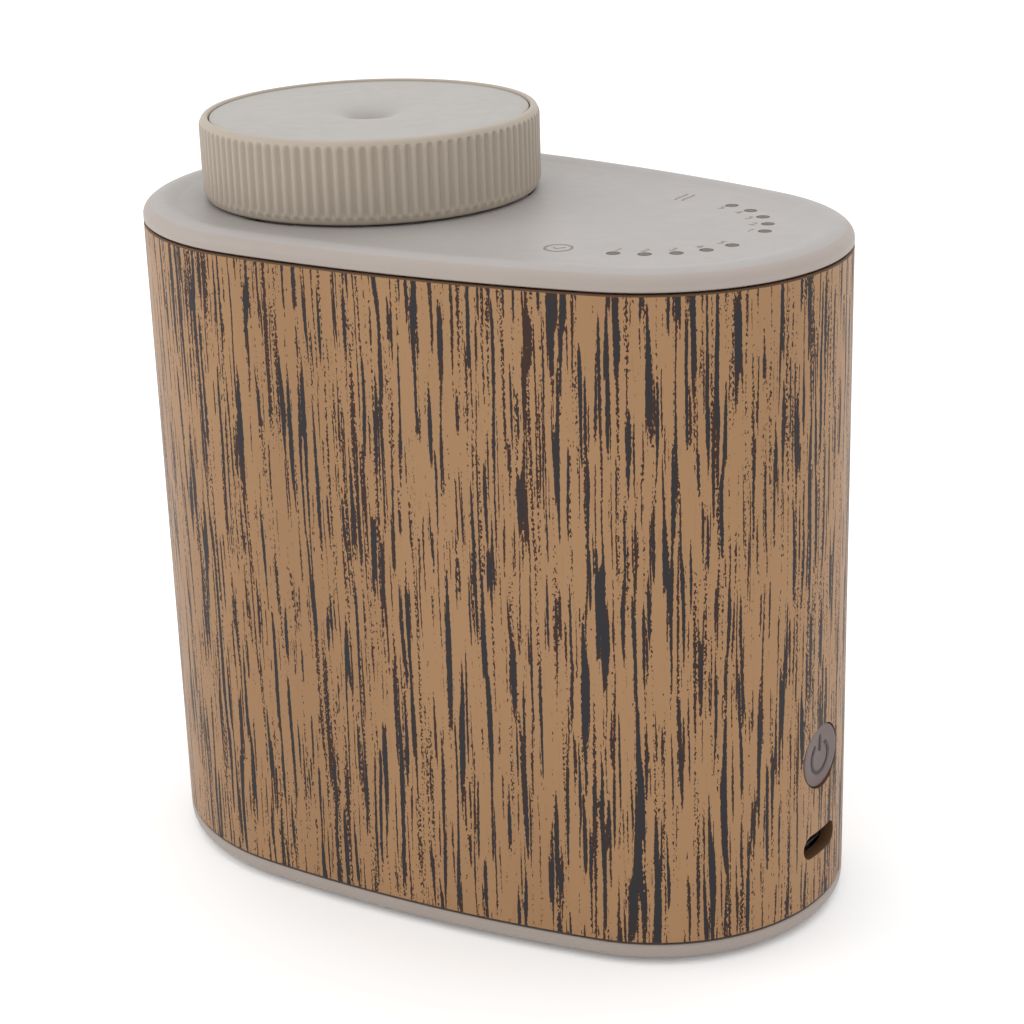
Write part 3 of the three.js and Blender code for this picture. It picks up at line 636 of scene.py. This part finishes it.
def build_base():
    """The base cover: a slab with a rounded foot, recesses for pads and screws, and a lip."""
    low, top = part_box("base_cover")[0].z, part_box("base_cover")[1].z
    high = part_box("sleeve")[0].z - GAP
    round_r, steps = 1.5 * MM, 8
    profile = []
    for i in range(steps + 1):
        t = i / steps * math.pi / 2
        profile.append((round_r * (1 - math.sin(t)), low + round_r * (1 - math.cos(t))))
    profile += [(0, high - 0.2 * MM), (0.2 * MM, high)]
    slab = skin("base_shell", body_rings(profile))
    cutters = []
    for i in range(4):
        pad, screw = f"foot_pad_{i + 1}", f"base_screw_{i + 1}"
        for name, recess_top in ((pad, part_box(pad)[1].z + GAP), (screw, 2.9 * MM)):
            x, y, r = footprint(name)
            cutters.append(rod("recess", r + RECESS_GAP, -MM, recess_top, 48, x, y))
    carve(slab, *cutters)
    lip = inner_lip("lip", high - OVERLAP, top)
    carve(lip, x_slot("slot", 11.4 * MM, 5.9 * MM, *END_WALL, PORT_Z))
    base = together("base_shell", slab, lip)
    place(base, "housing", "rim", "rim_plastic", "base_cover", angle=40)


# ---------------------------------------------------------------------- cap


def build_cap():
    """The ribbed ring with its rounded lip, its seat for the disc and its three lugs."""
    low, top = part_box("cap_ring")[0].z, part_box("cap_ring")[1].z
    r = CAP_R
    inner_r, seat_r, seat_z, foot_r = 22.2 * MM, 25.0 * MM, 114.7 * MM, 23.2 * MM
    rows = [
        # radius, height, share of the rib's depth at that row
        (inner_r, low, 0),
        (inner_r, seat_z, 0),
        (seat_r, seat_z, 0),
        (seat_r, top - 0.4 * MM, 0),
        (seat_r + 0.06 * MM, top - 0.16 * MM, 0),
        (seat_r + 0.22 * MM, top - 0.03 * MM, 0),
        (seat_r + 0.45 * MM, top, 0),
        (seat_r + 0.7 * MM, top - 0.04 * MM, 0),
        (seat_r + 0.92 * MM, top - 0.18 * MM, 0),
        (seat_r + 1.1 * MM, top - 0.4 * MM, 0),
        (seat_r + 1.2 * MM, top - 0.62 * MM, 0),
        (r - 0.16 * MM, top - 0.8 * MM, 0.12),
        (r - 0.05 * MM, top - 1.0 * MM, 0.6),
        (r, top - 1.3 * MM, 0.95),
        (r, top - 1.6 * MM, 1),
        (r, CAP_BOTTOM + 1.9 * MM, 1),
        (r, CAP_BOTTOM + 1.5 * MM, 0.9),
        (r - 0.08 * MM, CAP_BOTTOM + 1.2 * MM, 0.45),
        (r - 0.3 * MM, CAP_BOTTOM + 0.95 * MM, 0.05),
        (r - 0.42 * MM, CAP_BOTTOM + 0.5 * MM, 0),
        (r - 0.62 * MM, CAP_BOTTOM + 0.16 * MM, 0),
        (r - 0.95 * MM, CAP_BOTTOM, 0),
        (foot_r, CAP_BOTTOM, 0),
        (foot_r, low, 0),
    ]

    def groove(row, a):
        """How deep the surface lies at an angle: narrow round ribs between wider hollows."""
        wave = 0.5 - 0.5 * math.cos(a * RIB_COUNT)
        return RIB_DEPTH * rows[row][2] * (1 - wave) ** 1.4

    profile = [(x, z) for x, z, _ in rows]
    shell = turned("cap_shell", profile, RIB_COUNT * 12, BIG_X, groove=groove)
    lugs = []
    for middle in LUG_ANGLES:
        half, inner, outer = math.radians(9), 23.0 * MM, 25.2 * MM
        lugs.append(wedge("lug", middle, half, inner, outer, 100.9 * MM, 103.2 * MM))
    cap = together("cap_shell", shell, *lugs)
    place(cap, "cap", "cap", "cap_plastic", "cap_ring", angle=38)


def build_disc():
    """The cap's face: a shallow dish that falls into the mist outlet."""
    low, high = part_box("cap_disc")[0].z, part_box("cap_disc")[1].z
    bore, flat, rim = 1.9 * MM, 24.6 * MM, 24.82 * MM
    dish_depth, dish_r = 0.9 * MM, 6.2 * MM
    funnel_depth, funnel_r = 3.0 * MM, 2.7 * MM
    steps = 40
    profile = [(rim, high - 1.9 * MM), (rim, high - 0.2 * MM)]
    profile += [(rim - 0.06 * MM, high - 0.06 * MM), (flat, high)]
    for i in range(1, steps + 1):
        r = flat + (bore - flat) * (i / steps) ** 0.7
        dish = dish_depth * math.exp(-((r / dish_r) ** 2))
        funnel = funnel_depth * math.exp(-((r / funnel_r) ** 2))
        profile.append((r, high - dish - funnel))
    profile += [(bore, low), (bore + 1.1 * MM, low), (bore + 1.3 * MM, low + 1.0 * MM)]
    profile.append((9 * MM, high - 2.0 * MM))
    disc = turned("cap_disc_face", profile, 128, BIG_X)
    place(disc, "cap", "disc", "disc_plastic", "cap_disc", angle=50)


def build_baffle():
    """A flanged tube under the disc, with an inner shelf that catches large drops."""
    tube = [(15.3, 105.6), (15.3, 104.5), (15.5, 104.3), (17.2, 104.3), (17.4, 104.5), (17.4, 114.6)]
    flange = [(17.9, 115.0), (24.7, 115.0), (24.7, 116.1), (16.1, 116.1)]
    shelf = [(16.1, 113.4), (6.0, 113.4), (6.0, 112.4), (16.1, 112.4), (16.1, 105.6)]
    baffle = turned("mist_baffle", in_mm(tube + flange + shelf), 96, BIG_X)
    place(baffle, "cap", "nylon", "white_nylon", "cap_baffle", angle=40)


# --------------------------------------------------------- head and bottle


def build_bottle():
    """The glass, from the middle of its raised base up the outside and down the inside, and the oil."""
    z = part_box("oil_bottle")[0].z
    heel = [(0.2, 0.9), (8, 0.7), (12, 0), (13.6, 0.15), (14.6, 0.8), (15, 2)]
    shoulder = [(15, 79.6), (14.6, 81.4), (13.4, 83.0), (11.8, 84.3), (10.9, 85.4), (10.6, 86.6)]
    neck = [(10.6, 89.6), (11.3, 90.3), (11.3, 91.1), (10.6, 91.8), (10.6, 95.3), (10.3, 95.6)]
    mouth = [(8.5, 95.6), (8.2, 95.2), (8.2, 85.4)]
    inside = [(9.2, 84.0), (11.6, 82.2), (13.2, 80.6), (13.6, 79)]
    floor = [(13.6, 3.6), (12.8, 2.6), (8, 2.7), (0.2, 2.9)]
    profile = in_mm(heel, z) + in_mm(shoulder + neck + mouth + inside) + in_mm(floor, z)
    bottle = turned("bottle_glass", profile, 128, BIG_X)
    place(bottle, "bottle", "glass", "amber_glass", "oil_bottle", angle=40)
    level = 62 * MM
    profile = in_mm([(7.9, 2.78), (12.7, 2.72), (13.5, 3.7)], z) + [(13.5 * MM, level)]
    fill = solid_turned("oil_fill", profile, 96, BIG_X)
    place(fill, "bottle", "oil", "amber_glass", angle=40)


def build_head():
    """The carrier: a plate with the bottle's socket below, a chimney above and the air duct."""
    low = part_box("well_gasket")[1].z + GAP
    top = low + 2 * MM
    socket = [(11.9, 87.3), (12.2, 87), (13.3, 87), (13.6, 87.3)]
    chimney = [(15, 105.9), (15.8, 105.9), (15.8, 106.9), (15.1, 107.5), (13.6, 107.5), (13.4, 107.3)]
    nozzle_boss = [(4.6, 102.8), (4.4, 103), (1.3, 103)]
    profile = in_mm([(1.3, 0), (11.9, 0)], low) + in_mm(socket) + in_mm([(13.6, 0), (22.4, 0)], low)
    profile += [(22.6 * MM, low + 0.2 * MM), (22.6 * MM, top - 0.2 * MM)]
    profile += in_mm([(22.4, 0), (15, 0)], top) + in_mm(chimney)
    profile += in_mm([(13.4, 0), (4.6, 0)], top) + in_mm(nozzle_boss)
    plate = turned("head_shell", profile, 96, BIG_X)
    stub_low, stub_top = 90.5 * MM, low + 0.5 * MM
    profile = [(0.7 * MM, stub_low), (1.2 * MM, stub_low), (1.4 * MM, stub_low + 0.3 * MM)]
    profile += [(1.4 * MM, stub_top), (0.7 * MM, stub_top)]
    stub = turned("stub", profile, 32, BIG_X + 18.05 * MM)
    duct_r, duct_start, duct_end = 1.7 * MM, BIG_X + 3 * MM, BIG_X + 18.3 * MM
    duct = arc(duct_end, 0, duct_r, -math.pi / 2, math.pi / 2, 12)
    duct += [(duct_start, duct_r), (duct_start, -duct_r)]
    ridge = soften(prism("duct", duct, low + 0.5 * MM, top + 2.2 * MM), 0.3 * MM, 50)
    head = together("head_shell", plate, stub, ridge)
    place(head, "head", "nylon", "white_nylon", "head_carrier", angle=40)


def build_well():
    """The cup that the bottle stands in, with a flange under the deck and the air port."""
    low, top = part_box("bottle_well")[0].z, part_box("bottle_well")[1].z
    outside = [(0.2, 0), (21.6, 0), (22.4, 0.8)]
    flange = [(22.4, -2), (26.4, -2), (26.6, -1.8), (26.6, -0.2), (26.4, 0), (21.3, 0), (21.0, -0.3)]
    inside = [(21.0, 3), (20.2, 2), (0.2, 2)]
    profile = in_mm(outside, low) + in_mm(flange, top) + in_mm(inside, low)
    well = turned("well_shell", profile, 96, BIG_X)
    carve(well, x_rod("port", 2.3 * MM, BIG_X + 18 * MM, BIG_X + 25 * MM, 88 * MM, 32))
    place(well, "housing", "nylon", "white_nylon", "bottle_well", angle=40)


# ------------------------------------------------- button, port, indicators


def build_button():
    """The dished button on its flange, and the power symbol inlaid in its face."""
    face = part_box("power_button")[1].x
    stem = [(1.5, 53.4), (1.5, 53.9), (6.1, 53.9), (6.2, 54), (6.2, 55.1)]
    profile = in_mm(stem) + [
        (BUTTON_R, 55.1 * MM),
        (BUTTON_R, face - 0.22 * MM),
        (BUTTON_R - 0.06 * MM, face - 0.06 * MM),
        (BUTTON_R - 0.22 * MM, face),
    ]
    profile += in_mm([(4.4, -0.02), (2.5, -0.1), (0.3, -0.13)], face)
    button = solid_turned("button_body", profile, 96)
    turn = Matrix.Translation((0, 0, BUTTON_Z)) @ Matrix.Rotation(math.pi / 2, 4, "Y")
    button.data.transform(turn)
    place(button, "power_button", "button", "button_plastic", "power_button", angle=40)
    # the usual ring with a gap at the top and an upright bar
    ring_r, half, thick = 2.5 * MM, 0.3 * MM, 0.14 * MM
    bar_low, bar_high = 1.25 * MM, 3.45 * MM
    gap = math.radians(32)
    start, end = math.pi / 2 + gap, math.pi / 2 - gap + 2 * math.pi
    outer = arc(0, 0, ring_r + half, start, end, 40)
    inner = arc(0, 0, ring_r - half, end, start, 40)
    ring = prism("symbol_ring", outer + inner, 0, thick)
    bar_points = arc(0, bar_high, half, 0, math.pi, 8) + [(-half, bar_high)]
    bar_points += arc(0, bar_low, half, math.pi, 2 * math.pi, 8) + [(half, bar_low)]
    symbol = together("power_symbol", ring, prism("symbol_bar", bar_points, 0, thick))
    # the symbol's own up becomes +Z and its face looks along +X
    basis = Matrix(((0, 0, 1, 0), (1, 0, 0, 0), (0, 1, 0, 0), (0, 0, 0, 1)))
    shift = Matrix.Translation((face - 0.17 * MM, 0, BUTTON_Z - 0.3 * MM))
    symbol.data.transform(shift @ basis)
    place(symbol, "power_button", "symbol", "button_plastic")


def build_port():
    """The inlet's metal shell and the tongue inside it."""
    a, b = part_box("usb_c_port")
    back = a.x + 0.8 * MM
    shell = x_slot("port_shell", 8.9 * MM, 3.2 * MM, a.x, b.x, PORT_Z)
    carve(shell, x_slot("mouth", 8.2 * MM, 2.5 * MM, back, b.x + MM, PORT_Z))
    soften(shell, 0.08 * MM, 60)
    place(shell, "housing", "port", "port_metal", "usb_c_port")
    half, thick, chamfer = 3.3 * MM, 0.35 * MM, 0.2 * MM
    front = b.x - 0.7 * MM
    plan = [
        (back, -half),
        (front - chamfer, -half),
        (front, -half + chamfer),
        (front, half - chamfer),
        (front - chamfer, half),
        (back, half),
    ]
    tongue = prism("port_tongue", plan, PORT_Z - thick, PORT_Z + thick)
    soften(tongue, 0.1 * MM, 50)
    place(tongue, "housing", "black", "switch_black")


def build_guides():
    """Two curved light bars under the deck, each with five pins that show as dots."""
    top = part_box("top_cover")[1].z
    first, last = DOT_ANGLES[0] - 6, DOT_ANGLES[-1] + 6
    outer, inner = DOT_RING_R + 1.5 * MM, DOT_RING_R - 1.5 * MM
    for side, name in ((-1, "timer_light_guide"), (1, "level_light_guide")):
        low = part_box(name)[0].z
        start, end = math.radians(side * first), math.radians(side * last)
        bar = arc(SMALL_X, 0, outer, start, end, 32) + arc(SMALL_X, 0, inner, end, start, 32)
        parts = [prism("bar", bar, low, low + 2.2 * MM)]
        pin = [
            (DOT_R, low + 2 * MM),
            (DOT_R, top - 0.14 * MM),
            (DOT_R * 0.9, top - 0.05 * MM),
            (DOT_R * 0.5, top - 0.01 * MM),
            (DOT_R * 0.1, top),
        ]
        parts += [solid_turned("pin", pin, 32, *dot_spot(side, angle)) for angle in DOT_ANGLES]
        guide = together(name + "_lenses", *parts)
        place(guide, "housing", "lens", "light_guide", name, angle=40)


def stroke(points, width, low, high):
    """A flat ribbon of the given width along a line of points."""
    left, right = [], []
    for i, p in enumerate(points):
        a = Vector(points[max(i - 1, 0)])
        b = Vector(points[min(i + 1, len(points) - 1)])
        d = (b - a).normalized()
        n = Vector((-d.y, d.x)) * width / 2
        left.append((p[0] + n.x, p[1] + n.y))
        right.append((p[0] - n.x, p[1] - n.y))
    return prism("stroke", left + right[::-1], low, high)


def clock_marks(low, high):
    """The timer's ring and its plain hand."""
    x, y, r, half = 24.5 * MM, -17.6 * MM, 1.95 * MM, 0.2 * MM
    section = [(r + half, low), (r + half, high), (r - half, high), (r - half, low)]
    hand = [(-0.75, -0.1), (-0.1, -0.55), (0.75, 0.75)]
    line = [(x + across * MM, y + along * MM) for across, along in hand]
    return [turned("ring", section, 64, x, y), stroke(line, 0.32 * MM, low, high)]


def mist_marks(low, high):
    """Two slanted wavy strokes side by side."""
    x, y, length, spread, steps = 23.9 * MM, 17.9 * MM, 4.2 * MM, 0.62 * MM, 16
    marks = []
    for side in (-1, 1):
        line = []
        for i in range(steps + 1):
            t = i / steps - 0.5
            across = 0.12 * MM * math.sin(t * 2 * math.pi) - 0.35 * MM * t
            line.append((x + side * spread + across, y + t * length))
        marks.append(stroke(line, 0.36 * MM, low, high))
    return marks


def numeral(value, x, y, low, high):
    """A printed numeral centred on a spot, its top towards +Y."""
    curve = bpy.data.curves.new("numeral", "FONT")
    curve.body = str(value)
    curve.size = 2.3 * MM
    curve.align_x = "CENTER"
    curve.align_y = "CENTER"
    curve.extrude = (high - low) / 2
    text = link(curve, "numeral")
    graph = bpy.context.evaluated_depsgraph_get()
    flat = bpy.data.meshes.new_from_object(text.evaluated_get(graph))
    bpy.data.objects.remove(text)
    flat.transform(Matrix.Translation((x, y, (low + high) / 2)))
    return link(flat, "numeral")


def build_prints():
    """Grey printed marks: a timer ring, two mist strokes and plain numerals beside the dots."""
    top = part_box("top_cover")[1].z
    low, high = top - 0.05 * MM, top + 0.015 * MM
    parts = clock_marks(low, high) + mist_marks(low, high)
    for side in (-1, 1):
        for number, angle in enumerate(DOT_ANGLES):
            value = number + 1 if side > 0 else len(DOT_ANGLES) - number
            x, y = dot_spot(side, angle, DOT_RING_R - 2.1 * MM)
            parts.append(numeral(value, x, y, low, high))
    marks = together("deck_marks", *parts)
    place(marks, "housing", "ink", "deck_plastic", angle=30)


def build_feet():
    for i in range(4):
        name = f"foot_pad_{i + 1}"
        low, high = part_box(name)[0].z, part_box(name)[1].z
        x, y, r = footprint(name)
        profile = [
            (r * 0.2, low),
            (r - 0.35 * MM, low),
            (r - 0.1 * MM, low + 0.1 * MM),
            (r, low + 0.35 * MM),
            (r, high),
        ]
        pad = solid_turned(name + "_pad", profile, 64, x, y)
        place(pad, "housing", "foot", "foot_rubber", name)


def finish_cad_nodes():
    """Every CAD node that stays gets its own material."""
    kinds = {
        "base_screw": "steel",
        "board_screw": "steel",
        "bracket_screw": "steel",
        "well_gasket": "seal",
        "neck_seal": "seal",
        "pump_diaphragm": "seal",
        "air_socket": "nylon",
        "chassis": "nylon",
        "upper_bracket": "nylon",
        "nozzle": "nozzle",
        "dip_tube": "tube",
        "air_hose": "tube",
        "main_board": "board",
        "touch_board": "board",
        "tact_switch": "black",
        "pump_head": "black",
        "pump_motor": "can",
        "pump_rotor": "steel",
        "battery_cell": "cell",
        "battery_lead": "red",
        "pump_lead": "wire",
        "touch_ribbon": "film",
    }
    for name, obj in nodes.items():
        for start, kind in kinds.items():
            if name.startswith(start):
                obj.data.materials.clear()
                obj.data.materials.append(mats[kind])


# -------------------------------------------------------------------- stage


def build_floor():
    side = 6
    corners = [(-side, -side, 0), (side, -side, 0), (side, side, 0), (-side, side, 0)]
    floor = mesh_object("floor", corners, [(0, 1, 2, 3)])
    g = Graph("pale_floor")
    cloud = g.noise(4, detail=2)
    g.set(
        Base_Color=g.mix(cloud, (0.96, 0.96, 0.96, 1), (0.98, 0.98, 0.98, 1)),
        Roughness=0.9,
        Emission_Color=(1, 1, 1, 1),
        Emission_Strength=0.06,
    )
    floor.data.materials.append(g.material)


def softbox(name, spot, aim, side, watts, colour=(1, 1, 1)):
    """A square area light at a spot, turned towards its aim."""
    light = bpy.data.lights.new(name, "AREA")
    light.shape = "RECTANGLE"
    light.size, light.size_y = side, side
    light.energy = watts
    light.color = colour
    obj = link(light, name)
    obj.location = spot
    direction = Vector(aim) - Vector(spot)
    obj.rotation_euler = direction.to_track_quat("-Z", "Y").to_euler()


def build_lights():
    world = bpy.data.worlds.new("studio")
    bpy.context.scene.world = world
    world.use_nodes = True
    back = world.node_tree.nodes["Background"]
    back.inputs["Color"].default_value = (1, 1, 1, 1)
    back.inputs["Strength"].default_value = 1.12
    softbox("key", (-0.5, -0.42, 0.42), (0, 0, 0.06), 0.4, 0.9, (1, 0.98, 0.95))
    softbox("top", (-0.1, 0.25, 0.9), (0, 0, 0.1), 0.8, 1.5)


def build_camera():
    """A camera on a sphere round its target, with a slight roll."""
    azimuth, elevation = math.radians(35.479), math.radians(20.308)
    roll, distance = math.radians(-1.7523), 9.228 * BIG_R
    target = Vector((26.706, -33.901, 71.774)) * MM
    to_camera = Vector(
        (
            math.sin(azimuth) * math.cos(elevation),
            -math.cos(azimuth) * math.cos(elevation),
            math.sin(elevation),
        )
    )
    right = Vector((0, 0, 1)).cross(to_camera).normalized()
    up = to_camera.cross(right)
    x_axis = right * math.cos(roll) + up * math.sin(roll)
    y_axis = -right * math.sin(roll) + up * math.cos(roll)
    turn = Matrix((x_axis, y_axis, to_camera)).transposed().to_4x4()
    camera = bpy.data.cameras.new("camera")
    camera.sensor_width = 36
    camera.lens = 83.43
    camera.clip_start = 0.01
    obj = link(camera, "camera")
    obj.matrix_world = Matrix.Translation(target + to_camera * distance) @ turn
    bpy.context.scene.camera = obj
    bpy.context.scene.view_settings.view_transform = "Standard"


build_floor()
build_lights()
build_camera()
build_sleeve()
build_deck()
build_base()
build_cap()
build_disc()
build_baffle()
build_bottle()
build_head()
build_well()
build_button()
build_port()
build_guides()
build_prints()
build_feet()
finish_cad_nodes()
